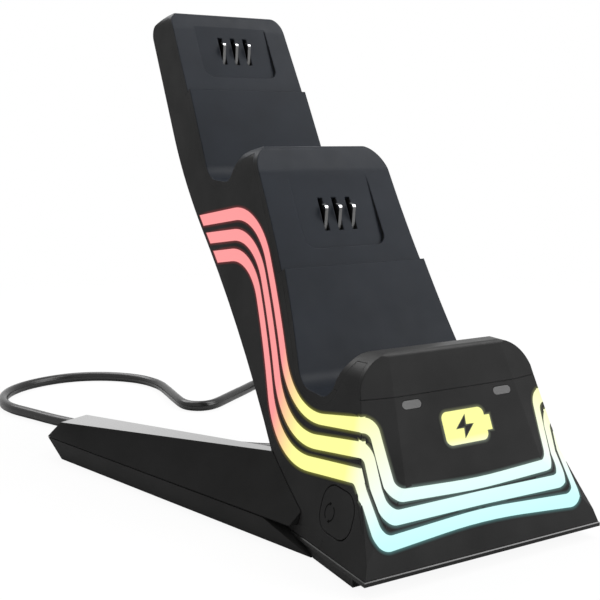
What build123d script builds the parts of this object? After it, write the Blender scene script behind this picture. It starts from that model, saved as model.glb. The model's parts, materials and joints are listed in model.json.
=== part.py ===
from build123d import *
import os
from math import asin, cos, degrees, hypot, pi, radians, sin, sqrt, tan

# Two-tier controller charging dock. Millimetres, X to the right, Y to the back, Z up from the table.
# Y is counted from near the front edge while modelling; the finished dock is centred before export.

# Overall heights and front face
plate_z = 0.45
rim_z = 3.6
shell_z = 4.9
front_y = -2.3
toe_y, toe_z = -1.1, 8.7
fold_y, fold_z = 4.6, 25.2
lip_front_y, lip_z = 20.0, 58.8
lip_thick = 7.7
lip_drop = 0.5
seam_z = 47.4

# Seats: the step point of the lower seat, the floor corners below it, and the shift to the upper seat
step_y, step_z = 68.2, 77.6
floor_front_dy, floor_front_dz = -35.7, -33.8
floor_back_dy, floor_back_dz = -18.7, -33.3
tier_dy, tier_dz = 79.3, 59.1
step_depth = 2.1
panel_lean = 31.0

# Tops of the two panels: rise above the step, depth to the rear edge and drop on the way there
mid_rise, mid_depth, mid_drop = 38.4, 8.1, 2.9
top_rise, top_depth, top_drop = 30.8, 18.4, 5.4

# Each panel leans further back along its crown
crown_lean = 39.0
mid_crown, top_crown = 8.4, 6.5

# Back of the column: two straight runs joined by a large bend
base_back_y = 38.8
back_low_lean, back_high_lean = 50.1, 30.3
back_bend_round = 135.0
rear_seam_drop = 9.0

# Edge roundings of the side profile
toe_round = 6.0
fold_round = 12.0
lip_round = 2.0
seat_front_round = 7.0
seat_back_round = 10.0
crown_round = 12.0
mid_round = 3.0
top_round = 3.0
back_round = 4.0

# Half widths of the front view: straight taper above the knee, concave flare below
top_half = 24.3
knee_half, knee_z = 25.9, 100.0
base_half = 41.6

# Rounded top corners of the lip, the middle tier and the top
lip_corner = 13.0
mid_corner = 9.0
top_corner = 5.5

# Side facets of the bowed front: where they start, and how far back they take the corner
facet_half_seam, seam_setback = 21.4, 2.25
facet_half_fold, fold_setback = 24.2, 4.8

# Walls and clearances
wall = 2.2
cover_wall = 2.4
rear_rim = 1.5
seam_gap = 0.12
fit_gap = 0.1
moving_gap = 0.35
web_thick = 5.0

# Light stripes
band_depth = 1.2
band_rear_margin = 2.8

# Contacts
contact_pitch = 5.4
contact_count = 3
contact_up = 19.8
slot_width = 1.8
slot_length = 12.0
leaf_width = 1.1
leaf_thick = 0.4
window_width, window_height, window_depth = 31.0, 27.0, 1.3
block_width, block_height, block_depth = 20.0, 19.0, 5.0
board_thick = 1.2

# Mode button on the left wall
button_y, button_z = 17.4, 16.4
button_width, button_height, button_round = 16.0, 12.6, 5.2
button_thick = 2.0
button_travel = 0.8
plunger_radius = 1.8
switch_size = 6.0

# Charge lights and lit sign on the lip front
pill_x, pill_z = 16.2, 45.1
pill_width, pill_height = 6.4, 2.4
sign_z = 37.4
sign_width, sign_height = 15.0, 9.6
sign_nub_width, sign_nub_height = 1.9, 4.4
sign_depth = 1.4

# Legs
leg_seam_z = 7.3
leg_splay_outer, leg_splay_inner = 17.8, 19.6
leg_outer_x, leg_inner_x, leg_start_y = 44.0, 23.9, 34.5
leg_front_y = 26.2
ridge_front_x, ridge_front_z = 25.6, 24.1
ridge_rear_x, ridge_rear_y, ridge_rear_z = 79.2, 146.7, 14.3
leg_tip_y = 154.3
leg_end_y = 157.5
leg_groove = 0.3
leg_screw_sink = 2.4
tip_top_dx, tip_top_dy, tip_top_drop = 6.9, 4.5, 0.3
tip_width, tip_rake = 15.6, 3.2
tip_under_dx, tip_under_dy = 5.9, 7.8
pocket_front_y, pocket_rear_y = 66.0, 136.0
pocket_front_height, pocket_rear_height = 3.0, 4.6
pocket_wall, pocket_outer_wall = 2.6, 6.2
pad_thick = 0.4
pad_inset = 1.6
sole_gap = 0.4

# Base plate and feet
rim_proud = 0.35
rim_bevel = 0.25
plate_half, plate_front_y = 41.0, 4.5
plate_back_inset = 1.5
spigot_half, spigot_back_y, spigot_height = 38.0, 33.0, 1.4
foot_x, foot_y, foot_width, foot_depth = 27.0, 15.0, 14.0, 8.0
board_half, board_front_y, board_back_y = base_half - 10.6, 13.0, 30.0
post_height = 4.0
post_radius = 2.0

# Lead
lead_diameter = 4.5
port_z = 15.5
relief_length = 14.0
relief_plug = 8.0
relief_root, relief_tip = 4.0, 3.0
coil_x, coil_y, coil_mid_radius = 78.0, 222.0, 25.0
coil_columns, coil_layers = 3, 2
tail_angle = -30.0
tail_length = 34.0
plug_width, plug_height, plug_length = 15.6, 8.0, 26.0
usb_width, usb_height, usb_length, usb_wall = 12.0, 4.5, 18.5, 0.4
tie_width = 6.0
tie_thick = 0.6
tie_slack = 0.7

# Fasteners
screw_head, screw_head_depth, screw_shank, screw_length = 2.4, 1.4, 1.1, 6.0

FAR = 300.0
lean_sin, lean_cos = sin(radians(panel_lean)), cos(radians(panel_lean))
face_run = (lip_front_y - fold_y) / (lip_z - fold_z)


def face_y(z):
    """Depth of the central front face at a height."""
    return fold_y + (z - fold_z) * face_run


# Side profile

upper_step = (step_y + tier_dy, step_z + tier_dz)
lower_step = (step_y, step_z)


def seat_points(step):
    """Floor corners of a seat, its step and the foot of the contact panel behind the step."""
    y, z = step
    return [
        (y + floor_front_dy, z + floor_front_dz),
        (y + floor_back_dy, z + floor_back_dz),
        (y, z),
        (y + step_depth * lean_cos, z - step_depth * lean_sin),
    ]


def panel_point(step, z):
    """Point of the contact panel above a step, at a height."""
    foot_y, foot_z = seat_points(step)[3]
    return (foot_y + (z - foot_z) * lean_sin / lean_cos, z)


mid_top_z = step_z + mid_rise
top_z = upper_step[1] + top_rise
mid_bend = panel_point(lower_step, mid_top_z - mid_crown)
mid_front = (mid_bend[0] + mid_crown * tan(radians(crown_lean)), mid_top_z)
mid_back = (mid_front[0] + mid_depth, mid_top_z - mid_drop)
top_bend = panel_point(upper_step, top_z - top_crown)
top_front = (top_bend[0] + top_crown * tan(radians(crown_lean)), top_z)
back_top = (top_front[0] + top_depth, top_z - top_drop)
base_back = (base_back_y, shell_z)
lip_back = (lip_front_y + lip_thick, lip_z - lip_drop)
low_run, high_run = tan(radians(back_low_lean)), tan(radians(back_high_lean))


def low_back_y(z):
    """Depth of the back's lower run at a height."""
    return base_back[0] + (z - base_back[1]) * low_run


def high_back_y(z):
    """Depth of the back's upper run at a height."""
    return back_top[0] + (z - back_top[1]) * high_run


bend_z = (high_back_y(0) - low_back_y(0)) / (low_run - high_run)
back_bend = (low_back_y(bend_z), bend_z)
lower_floor, upper_floor = seat_points(lower_step)[0], seat_points(upper_step)[0]
profile_points = [
    (front_y, shell_z), (toe_y, toe_z), (fold_y, fold_z), (lip_front_y, lip_z), lip_back,
    *seat_points(lower_step), mid_bend, mid_front, mid_back,
    *seat_points(upper_step), top_bend, top_front, back_top, back_bend, base_back,
]
profile_radii = [
    toe_round, fold_round, lip_round, lip_round,
    seat_front_round, seat_back_round, 0, 0, crown_round, mid_round, mid_round,
    seat_front_round, seat_back_round, 0, 0, crown_round, top_round, back_round, back_bend_round,
]


def side_face():
    """Side view of the whole column and base."""
    outline = FilletPolyline(*profile_points, radius=profile_radii)
    return make_face([*outline.edges(), Line(base_back, (front_y, shell_z))])


profile = side_face()
profile_inside = offset(profile, -cover_wall)
rear_seam_z = back_top[1] - rear_seam_drop
below_rear_seam = Pos(0, rear_seam_z - FAR) * Rectangle(4 * FAR, 2 * FAR)


def rear_strip(depth):
    """Side view of a layer along the back, up to the seam under the top."""
    over, under = back_top[1] + FAR / 10, shell_z - FAR / 10
    path = FilletPolyline((high_back_y(over), over), back_bend, (low_back_y(under), under), radius=back_bend_round)
    in_front = profile - trace(path, 2 * depth)
    return (profile & below_rear_seam) - in_front


# Front outline

taper = (knee_half - top_half) / (top_z - knee_z)
outline_top = top_z + top_corner


def flare_circle():
    """Centre and radius of the flare, tangent to the taper at the knee."""
    run = hypot(1, taper)
    nx, nz = 1 / run, taper / run
    vx, vz = base_half - knee_half, shell_z - knee_z
    radius = (vx * vx + vz * vz) / (2 * (vx * nx + vz * nz))
    return (knee_half + radius * nx, knee_z + radius * nz), radius


(flare_cx, flare_cz), flare_radius = flare_circle()


def half_width(z):
    """Half width of the front outline at a height."""
    if z >= knee_z:
        return knee_half - (z - knee_z) * taper
    return flare_cx - sqrt(flare_radius ** 2 - (z - flare_cz) ** 2)


def front_outline(inset):
    """Front view of the dock, narrowed by an inset on each side."""
    knee = (knee_half - inset, knee_z)
    foot = (base_half - inset, shell_z)
    peak = (half_width(outline_top) - inset, outline_top)
    mid_z = (knee_z + shell_z) / 2
    right = make_face([
        Line((0, shell_z), foot),
        ThreePointArc(foot, (half_width(mid_z) - inset, mid_z), knee),
        Line(knee, peak),
        Line(peak, (0, outline_top)),
        Line((0, outline_top), (0, shell_z)),
    ])
    return right + mirror(right, about=Plane.YZ)


def along_x(sketch, half=FAR):
    """Extrude a side-view sketch both ways across the dock."""
    return extrude(Plane.YZ * sketch, amount=half, both=True)


def along_y(sketch, half=FAR):
    """Extrude a front-view sketch both ways along the dock."""
    return extrude(Plane.XZ * sketch, amount=half, both=True)


def corner_cut(top, radius, y_from, y_to, inset):
    """Waste outside a rounded top corner, on both sides of a tier."""
    x = half_width(top - radius) - radius
    reach = radius + 10
    waste = Pos(x + reach / 2, top - radius + reach / 2) * Rectangle(reach, reach)
    waste = waste - Pos(x, top - radius) * Circle(radius - inset)
    waste = waste + mirror(waste, about=Plane.YZ)
    middle = (y_from + y_to) / 2
    return Pos(0, middle, 0) * along_y(waste, (y_to - y_from) / 2)


def trim(solid, points, outward, inset):
    """Cut away what lies beyond the plane through three points."""
    a, b, c = (Vector(*p) for p in points)
    normal = (b - a).cross(c - a).normalized()
    if normal.dot(Vector(*outward)) < 0:
        normal = normal * -1
    plane = Plane(origin=a - normal * inset, z_dir=normal)
    return solid - plane * Box(FAR, FAR, FAR, align=(Align.CENTER, Align.CENTER, Align.MIN))


def facet_row(z):
    """Height, start and slope of the upper facet: the set-back changes evenly from the fold to the seam."""
    t = (z - fold_z) / (seam_z - fold_z)
    start = facet_half_fold + t * (facet_half_seam - facet_half_fold)
    setback = fold_setback + t * (seam_setback - fold_setback)
    return z, start, face_y(z), setback / (half_width(z) - start)


fold_row = facet_row(fold_z)
toe_row = (toe_z, half_width(toe_z), toe_y, fold_row[3])


def facet_section(row, side, inset):
    """Plan of the waste in front of a facet at one height."""
    z, start, y, slope = row
    reach = base_half
    near, far = y + inset, y + inset + slope * reach
    corners = [(start, near), (start + reach, far), (start + reach, -FAR), (start, -FAR)]
    return Pos(0, 0, z) * make_face(Polyline(*[(side * x, y) for x, y in corners], close=True))


def trim_facets(solid, inset):
    """Twisted facets at both sides of the bowed front above the fold, flat ones below it."""
    for side in (-1, 1):
        for low, high in ((toe_row, fold_row), (fold_row, facet_row(lip_z + 4))):
            solid = solid - loft([facet_section(low, side, inset), facet_section(high, side, inset)], ruled=True)
    return solid


def envelope(section, side_inset, front_inset):
    """Outer form of the dock from a side view, with its sides and front facets moved inwards."""
    solid = along_x(section) & along_y(front_outline(side_inset))
    solid = solid - corner_cut(lip_z, lip_corner, front_y - 10, lower_floor[0], side_inset)
    solid = solid - corner_cut(mid_top_z, mid_corner, step_y, upper_floor[0], side_inset)
    solid = solid - corner_cut(top_z, top_corner, upper_step[0], back_top[0] + 10, side_inset)
    return trim_facets(solid, front_inset)


body = envelope(profile, 0, 0)
cavity = envelope(profile_inside, wall, wall)


# Covers: a band along the wavy front, cut at the seams

def gap_at(point, direction_deg):
    """Thin strip across the band at a seam."""
    return Pos(*point) * Rot(0, 0, direction_deg) * Rectangle(4 * cover_wall, seam_gap)


rear_zone = rear_strip(2 * cover_wall)
front_band = (profile - profile_inside) - rear_zone
wall_seam_share = (lip_back[1] - seam_z) / (lip_back[1] - lower_floor[1])
wall_seam_y = lip_back[0] + (lower_floor[0] - lip_back[0]) * wall_seam_share
mid_seam_y, mid_seam_z = (mid_back[0] + upper_floor[0]) / 2, (mid_back[1] + upper_floor[1]) / 2
seams = [
    gap_at((face_y(seam_z), seam_z), 0),
    gap_at((wall_seam_y, seam_z), 0),
    gap_at(seat_points(lower_step)[3], -panel_lean),
    gap_at((mid_seam_y, mid_seam_z), 20),
    gap_at(seat_points(upper_step)[3], -panel_lean),
]
for seam in seams:
    front_band = front_band - seam
band_faces = sorted(front_band.faces(), key=lambda face: face.center().X)
front_wall_band, lip_band, seat_low_band, panel_low_band, seat_high_band, panel_high_band = band_faces

front_limit_y = (face_y(seam_z) + wall_seam_y) / 2
front_zone = Pos(front_limit_y - FAR, seam_z - seam_gap / 2 - FAR) * Rectangle(2 * FAR, 2 * FAR)
cover_zone = (profile - profile_inside) - rear_zone - front_zone


def cover(band):
    """Full-width cover over one stretch of the wavy front."""
    return body & along_x(band)


# Contact panels

def panel_plane(step):
    """Plane of a contact panel: X across, Y up the panel, Z outwards, centred on the contacts."""
    foot_y, foot_z = seat_points(step)[3]
    origin = (0, foot_y + contact_up * lean_sin, foot_z + contact_up * lean_cos)
    return Plane(origin=origin, x_dir=(1, 0, 0), z_dir=(0, -lean_cos, lean_sin))


contact_xs = [(i - (contact_count - 1) / 2) * contact_pitch for i in range(contact_count)]
window_bottom = -slot_length / 2 - 6.5
block_shift = -1.0
channel_low, channel_high = -9.0, slot_length / 2 + 0.5
leaf_points = [(-8.6, -3.5), (-6.0, -3.1), (1.2, 2.5), (2.9, 0.7)]
leaf_radii = [1.0, 0.9]


def window_cut(plane):
    """Shallow window that is deepest at its lower edge and runs out flush at the top."""
    slope = degrees(asin(window_depth / window_height))
    outline = Pos(0, -window_height / 2) * Rectangle(window_width, window_height)
    low_corners = outline.vertices().sort_by(Axis.Y)[:2]
    outline = fillet(low_corners, 4.0)
    hinge_line = Pos(0, window_bottom + window_height, 0) * Rot(slope, 0, 0)
    return plane * hinge_line * extrude(outline, amount=8)


def slots(plane, width, low, high, top, bottom):
    """Slots at the contact pitch, between two depths measured outwards."""
    cut = None
    for x in contact_xs:
        box = Pos(x, (low + high) / 2, (top + bottom) / 2) * Box(width, high - low, top - bottom)
        cut = box if cut is None else cut + box
    return plane * cut


def contact_panel(band, step):
    """Panel with its window and slots."""
    plane = panel_plane(step)
    panel = cover(band) - window_cut(plane)
    return panel - slots(plane, slot_width, -slot_length / 2, slot_length / 2, 3, -4)


def contact_block(step):
    """Carrier behind a panel, with one channel for each leaf."""
    plane = panel_plane(step)
    block = plane * Pos(0, block_shift, -cover_wall - block_depth / 2) * Box(block_width, block_height, block_depth)
    return block - slots(plane, slot_width, channel_low, channel_high, 0, -cover_wall - block_depth + 1)


def contact_board(step):
    """Small circuit board on the back of the carrier."""
    depth = -cover_wall - block_depth - board_thick / 2
    return panel_plane(step) * Pos(0, block_shift, depth) * Box(block_width, block_height, board_thick)


def contact_leaf(step, x):
    """Spring leaf that rises out of its slot and hooks back."""
    path = FilletPolyline(*leaf_points, radius=leaf_radii)
    strip = trace(path, leaf_thick)
    return panel_plane(step) * Pos(x, 0, 0) * extrude(Plane.YZ * strip, amount=leaf_width / 2, both=True)


# Light stripes

# Each stripe lies between two edge lines, given in the side view (Y, Z) and in the right half of the front view (X, Z)
side_uppers = [
    [(140, 89.2), (88.2, 97.2), (51.5, 36.0), (-6, 47.5)],
    [(140, 82.3), (89.5, 89.3), (53.8, 29.8), (-6, 40.5)],
    [(140, 75.1), (91.3, 82.4), (55.9, 23.4), (-6, 33.1)],
]
side_lowers = [
    [(140, 85.0), (89.5, 92.5), (54.0, 33.2), (-6, 42.5)],
    [(140, 78.1), (91.1, 85.1), (55.5, 25.5), (-6, 36.0)],
    [(140, 70.5), (92.7, 77.9), (57.3, 18.9), (12.6, 25.9), (5.5, 20.5)],
]
side_upper_bends = [[28, 26], [26, 27], [24, 29]]
side_lower_bends = [[24, 30], [23, 31], [21, 32, 2.5]]
front_uppers = [
    [(48, 44.4), (27.8, 42.9), (26.8, 25.1), (0, 23.9)],
    [(48, 39.0), (30.5, 38.0), (30.3, 20.2), (0, 20.4)],
    [(48, 32.4), (34.5, 31.4), (33.9, 14.3), (0, 16.0)],
]
front_lowers = [
    [(48, 41.8), (30.5, 38.9), (29.7, 22.0), (0, 20.9)],
    [(48, 34.6), (33.4, 33.2), (33.1, 16.5), (0, 16.8)],
    [(48, 27.4), (36.5, 26.9), (36.8, 10.3), (0, 12.9)],
]
front_upper_bends = [(4.2, 2.4), (6.0, 3.0), (2.5, 3.0)]
front_lower_bends = [(2.0, 4.7), (2.0, 4.5), (1.5, 4.5)]
front_bow = 200.0
front_reach = 26.0


def bowed(right, bends):
    """Edge line across the front from its right half, bowed in the middle."""
    left = [(-x, z) for x, z in right[:-1]]
    radii = [*bends, front_bow, *reversed(bends)]
    return FilletPolyline(*left, right[-1], *reversed(right[:-1]), radius=radii)


def between(upper, lower, grow):
    """Face between two edge lines, grown by a clearance."""
    ends = [Line(upper @ 0, lower @ 0), Line(upper @ 1, lower @ 1)]
    face = make_face([*upper.edges(), *lower.edges(), *ends])
    return offset(face, grow) if grow > 0 else face


def stripe(row, grow, depth):
    """One light stripe: both sides and the front, as a skin of the body."""
    side_upper = FilletPolyline(*side_uppers[row], radius=side_upper_bends[row])
    side_lower = FilletPolyline(*side_lowers[row], radius=side_lower_bends[row])
    side_strip = between(side_upper, side_lower, grow) & (Pos(grow - band_rear_margin, 0) * profile)
    front_upper = bowed(front_uppers[row], front_upper_bends[row])
    front_lower = bowed(front_lowers[row], front_lower_bends[row])
    front_strip = between(front_upper, front_lower, grow)
    side_skin = body - along_y(front_outline(depth))
    front_skin = body - Pos(0, depth, 0) * body
    side_part = side_skin & along_x(side_strip)
    front_part = front_skin & (Pos(0, front_reach - FAR, 0) * along_y(front_strip))
    return side_part + front_part


# Mode button

def button_prism(grow):
    """Outline of the mode button, run through the left wall."""
    outline = RectangleRounded(button_width + 2 * grow, button_height + 2 * grow, button_round + grow)
    sketch = Pos(button_y, button_z) * outline
    return extrude(Plane.YZ * sketch, amount=-FAR / 2)


def skin_between(outer, inner):
    """Layer of the dock between two side insets."""
    return along_y(front_outline(outer)) - along_y(front_outline(inner))


switch_face_x = -board_half
plunger_tip_x = switch_face_x - button_travel - 0.2
plunger_root_x = -half_width(button_z) + button_thick - 0.4
flange_gap = 0.4


def mode_button():
    """Button cap flush with the wall, with a retaining flange and a plunger."""
    cap = button_prism(0) & skin_between(0, wall + flange_gap)
    flange = button_prism(1.2) & skin_between(wall + flange_gap, wall + flange_gap + 1.0)
    flange = flange - Pos(0, 0, shell_z + cover_wall + moving_gap - FAR / 2) * Box(FAR, FAR, FAR)
    plunger_length = plunger_tip_x - plunger_root_x
    plunger = Pos((plunger_tip_x + plunger_root_x) / 2, button_y, button_z) * Rot(0, 90, 0)
    return cap + flange + plunger * Cylinder(plunger_radius, plunger_length)


# Lip front: charge lights and lit sign

face_run_length = hypot(lip_front_y - fold_y, lip_z - fold_z)
face_sin, face_cos = (lip_front_y - fold_y) / face_run_length, (lip_z - fold_z) / face_run_length


def face_plane(x, z):
    """Plane on the central front face: X across, Y up, Z outwards."""
    return Plane(origin=(x, face_y(z), z), x_dir=(1, 0, 0), z_dir=(0, -face_cos, face_sin))


def pill(side, grow):
    """Charge light through the front wall."""
    outline = SlotOverall(pill_width + 2 * grow, pill_height + 2 * grow)
    return face_plane(side * pill_x, pill_z) * extrude(outline, amount=-cover_wall - 1)


def sign_face():
    """Generic charging sign: a battery with a bolt left open."""
    w, h = sign_width / 2, sign_height / 2
    battery = RectangleRounded(sign_width, sign_height, 2.0)
    nub = Pos(w + sign_nub_width / 2 - 0.3, 0) * Rectangle(sign_nub_width + 0.6, sign_nub_height)
    bolt = Polygon((0.9, h - 1.2), (-3.4, -0.5), (-0.5, -0.5), (-0.9, 1.2 - h), (3.4, 0.5), (0.5, 0.5), align=None)
    return battery + nub - bolt


def sign(grow):
    """Lit sign as a thin block let into the front face."""
    outline = sign_face()
    if grow > 0:
        outline = offset(outline, grow)
    return face_plane(0, sign_z) * extrude(outline, amount=-sign_depth)


# Rear cover, webs and screws

rear_screw_zs = [40.0, 128.0]
rear_screw_x = 13.0
web_length = 40.0


def back_plane(x, z):
    """Plane on a straight run of the back, with Z outwards."""
    y, lean = (low_back_y(z), back_low_lean) if z < bend_z else (high_back_y(z), back_high_lean)
    return Plane(origin=(x, y, z), x_dir=(1, 0, 0), z_dir=(0, cos(radians(lean)), -sin(radians(lean))))


def web(z):
    """Cross wall between the side walls, square to the back."""
    reach = Pos(0, 0, -cover_wall - web_length / 2) * Box(2 * FAR, web_thick, web_length)
    return cavity & (back_plane(0, z) * reach)


def screw(plane):
    """Flush screw with its head at the plane."""
    head = Pos(0, 0, -screw_head_depth / 2 - 0.2) * Cylinder(screw_head, screw_head_depth)
    socket = Pos(0, 0, -0.5) * Cylinder(screw_head / 2, 0.8)
    shank_mid = -0.2 - screw_head_depth - screw_length / 2
    return plane * (head - socket + Pos(0, 0, shank_mid) * Cylinder(screw_shank, screw_length))


def screw_hole(plane):
    """Counterbore and hole for a screw."""
    head_depth = screw_head_depth + 0.2
    head = Pos(0, 0, 2 - head_depth / 2) * Cylinder(screw_head + fit_gap, 4 + head_depth)
    shank_depth = head_depth + screw_length + 0.3
    return plane * (head + Pos(0, 0, -shank_depth / 2) * Cylinder(screw_shank + 0.03, shank_depth))


rear_screw_planes = [back_plane(side * rear_screw_x, z) for z in rear_screw_zs for side in (-1, 1)]
base_screw_x, base_screw_y = 22.0, 9.0
down = (0, 0, -1)
base_screw_planes = [
    Plane(origin=(side * base_screw_x, base_screw_y, plate_z), x_dir=(1, 0, 0), z_dir=down) for side in (-1, 1)
]
boss_radius, boss_top_z = 3.2, 12.0


def rear_piece(side_inset):
    """Layer at the back of the column between the side walls."""
    return along_x(rear_strip(cover_wall)) & along_y(front_outline(side_inset))


# Legs

def leg_x(start_x, splay, y):
    """Left-hand side of a splayed leg line at a depth."""
    return -start_x - (y - leg_start_y) * tan(radians(splay))


def leg_section(y):
    """Section of the left leg's upper shell at a depth."""
    t = (y - leg_start_y) / (ridge_rear_y - leg_start_y)
    ridge_x = -ridge_front_x - t * (ridge_rear_x - ridge_front_x)
    ridge_z = ridge_front_z + t * (ridge_rear_z - ridge_front_z)
    inner = leg_x(leg_inner_x, leg_splay_inner, y)
    outer = leg_x(leg_outer_x, leg_splay_outer, y)
    corners = [(outer, leg_seam_z), (ridge_x, ridge_z), (inner, ridge_z - 0.3 * t), (inner, leg_seam_z)]
    return Plane(origin=(0, y, 0), x_dir=(1, 0, 0), z_dir=(0, -1, 0)) * make_face(Polyline(*corners, close=True))


leg_tip = (leg_x(leg_outer_x, leg_splay_outer, leg_tip_y), leg_tip_y, leg_seam_z)
leg_ridge_end = (-ridge_rear_x, ridge_rear_y, ridge_rear_z)
leg_top_end = (-ridge_rear_x + tip_top_dx, ridge_rear_y + tip_top_dy, ridge_rear_z - tip_top_drop)
leg_corner = (leg_tip[0] + tip_width, leg_tip_y + tip_rake, leg_seam_z)
leg_under = (leg_tip[0] + tip_under_dx, leg_tip_y - tip_under_dy, pad_thick)


def pocket_section(y, height, outer_wall):
    """Section of the hollow under the leg shell."""
    inner = leg_x(leg_inner_x, leg_splay_inner, y) - pocket_wall
    outer = leg_x(leg_outer_x, leg_splay_outer, y) + outer_wall
    middle = Pos((inner + outer) / 2, leg_seam_z + height / 2 - 0.5)
    plane = Plane(origin=(0, y, 0), x_dir=(1, 0, 0), z_dir=(0, -1, 0))
    return plane * middle * Rectangle(abs(outer - inner), height + 1)


leg_screw_ys = [56.0, 142.0]


def leg_screw_plane(y, side=-1):
    """Place of a leg screw, sunk in the underside of the sole."""
    x = (leg_x(leg_inner_x, leg_splay_inner, y) + leg_x(leg_outer_x, leg_splay_outer, y)) / 2
    return Plane(origin=(-side * x, y, pad_thick + leg_screw_sink), x_dir=(1, 0, 0), z_dir=down)


def leg_plan(front, back, inset):
    """Plan of the left leg between two depths."""
    corners = []
    for y, order in ((front, (0, 1)), (back, (1, 0))):
        ends = [leg_x(leg_outer_x, leg_splay_outer, y) + inset, leg_x(leg_inner_x, leg_splay_inner, y) - inset]
        corners += [(ends[i], y) for i in order]
    return make_face(Polyline(*corners, close=True))


def leg_shell():
    """Upper half of the left leg, with a slanting outer facet and a cut end."""
    shell = loft([leg_section(leg_start_y), leg_section(leg_end_y)], ruled=True)
    shell = trim(shell, [leg_ridge_end, leg_top_end, leg_tip], (-1, 1, 1), 0)
    pocket_front = pocket_section(pocket_front_y, pocket_front_height, pocket_outer_wall)
    pocket_rear = pocket_section(pocket_rear_y, pocket_rear_height, pocket_wall)
    shell = shell - loft([pocket_front, pocket_rear], ruled=True) - leg_room
    for y in leg_screw_ys:
        shell = shell - screw_hole(leg_screw_plane(y))
    return shell


def sole_block(grow):
    """Straight strip of the left sole, with a nose that slants under the base."""
    bottom, top = pad_thick - grow, leg_seam_z - leg_groove
    block = Pos(0, 0, bottom) * extrude(leg_plan(leg_front_y - grow, leg_end_y + 2, -grow), amount=top - bottom)
    nose = [(0, leg_front_y, pad_thick), (1, leg_front_y, pad_thick), (0, base_back_y, shell_z)]
    return trim(block, nose, (0, -1, 1), -grow)


def leg_sole():
    """Lower half of the left leg: a straight strip with an undercut tail."""
    land_plan = leg_plan(leg_start_y + 16, ridge_rear_y - 3, 2.0)
    land = Pos(0, 0, leg_seam_z - 2 * leg_groove) * extrude(land_plan, amount=2 * leg_groove)
    sole = sole_block(0) + land - leg_room
    for y in leg_screw_ys:
        sole = sole - screw_hole(leg_screw_plane(y))
    sole = trim(sole, [leg_tip, leg_corner, leg_under], (0, 1, -1), 0)
    upright = [leg_tip, leg_corner, (leg_tip[0], leg_tip_y, 0)]
    return trim(sole, upright, (0, 1, 0), 0)


def leg_pad():
    """Rubber strip under the left leg."""
    return extrude(leg_plan(leg_screw_ys[0] + 6, leg_screw_ys[1] - 7, pad_inset), amount=pad_thick)


# Base plate

spigot_front_y = base_screw_y + boss_radius + 0.6
spigot_top_z = shell_z + spigot_height


def slab(half, y_from, y_to, z_from, z_to):
    """Block across the dock between two depths and two heights."""
    middle = Pos(0, (y_from + y_to) / 2, (z_from + z_to) / 2)
    return middle * Box(2 * half, y_to - y_from, z_to - z_from)


def base_plate():
    """Plate under the dock: bevelled rim, body set back below it, spigot and board posts."""
    rim = slab(base_half + rim_proud, front_y - rim_proud, base_back_y, rim_z, shell_z)
    rim = chamfer(rim.faces().sort_by(Axis.Z)[-1].edges(), rim_bevel)
    plate = rim + slab(plate_half, plate_front_y, base_back_y - plate_back_inset, plate_z, rim_z)
    plate = plate + slab(spigot_half, spigot_front_y, spigot_back_y, shell_z, spigot_top_z)
    for x, y in post_places:
        plate = plate + Pos(x, y, spigot_top_z + post_height / 2) * Cylinder(post_radius, post_height)
    for plane in base_screw_planes:
        plate = plate - screw_hole(plane)
    sole_room = sole_block(sole_gap)
    return plate - sole_room - mirror(sole_room, about=Plane.YZ)


post_places = [(x, y) for x in (-26.0, 26.0) for y in (board_front_y + 4, board_back_y - 4)]
board_z = spigot_top_z + post_height


def main_board():
    """Charging and light circuit with two blocks of components."""
    depth = board_back_y - board_front_y
    board = Pos(0, board_front_y + depth / 2, board_z + 0.8) * Box(2 * board_half, depth, 1.6)
    board = board + Pos(-6, board_front_y + 9, board_z + 2.6) * Box(10, 10, 2.0)
    return board + Pos(12, board_front_y + 9, board_z + 3.4) * Box(7, 12, 3.6)


def button_switch():
    """Push switch that stands on the board behind the mode button."""
    top = button_z + switch_size / 2
    bottom = board_z + 1.6
    body_x = switch_face_x + 0.4 + switch_size / 2
    case = Pos(body_x, button_y, (top + bottom) / 2) * Box(switch_size, switch_size, top - bottom)
    return case + Pos(switch_face_x + 0.5, button_y, button_z) * Rot(0, 90, 0) * Cylinder(1.2, 1.0)


# Lead

lead_radius = lead_diameter / 2
floor_z = lead_radius + 0.05
relief_start_y = low_back_y(port_z) - 4
lead_start_y = relief_start_y + 4.5
lead_route = [
    (0, lead_start_y, port_z), (0, 72, port_z), (-1.5, 88, 11.5), (-7, 104, 4.4), (-16, 118, floor_z),
    (-29, 133, floor_z), (-45, 152, floor_z), (-58, 170, floor_z), (-69, 189, floor_z), (-76, 205, floor_z),
    (-82.5, 219, floor_z), (-83, 232, floor_z), (-78, 245, floor_z), (-68, 254.5, floor_z),
    (-54, 259.5, floor_z), (-40, 259.5, floor_z), (-26, 253, floor_z), (-15, 241, floor_z),
    (-10.5, 226.5, floor_z), (-11.5, 212, floor_z), (-13, 199, floor_z), (-14, 186.5, floor_z),
    (-9.5, 181, floor_z), (-2.5, 180.5, floor_z), (9, 189, floor_z), (20.5, 197, floor_z),
    (31, 205, floor_z), (46, 206, floor_z), (60, 198, floor_z), (75, 193, floor_z),
]


def bend_radii(points):
    """Bend radius at each inner corner, from the shorter run beside it."""
    radii = []
    for a, b, c in zip(points, points[1:], points[2:]):
        run_in, run_out = Vector(*b) - Vector(*a), Vector(*c) - Vector(*b)
        turn = radians(run_in.get_angle(run_out))
        radii.append(0.45 * min(run_in.length, run_out.length) / tan(turn / 2))
    return radii


lead_bends = bend_radii(lead_route)
print("lead bend radii", [round(r, 1) for r in lead_bends])


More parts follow.
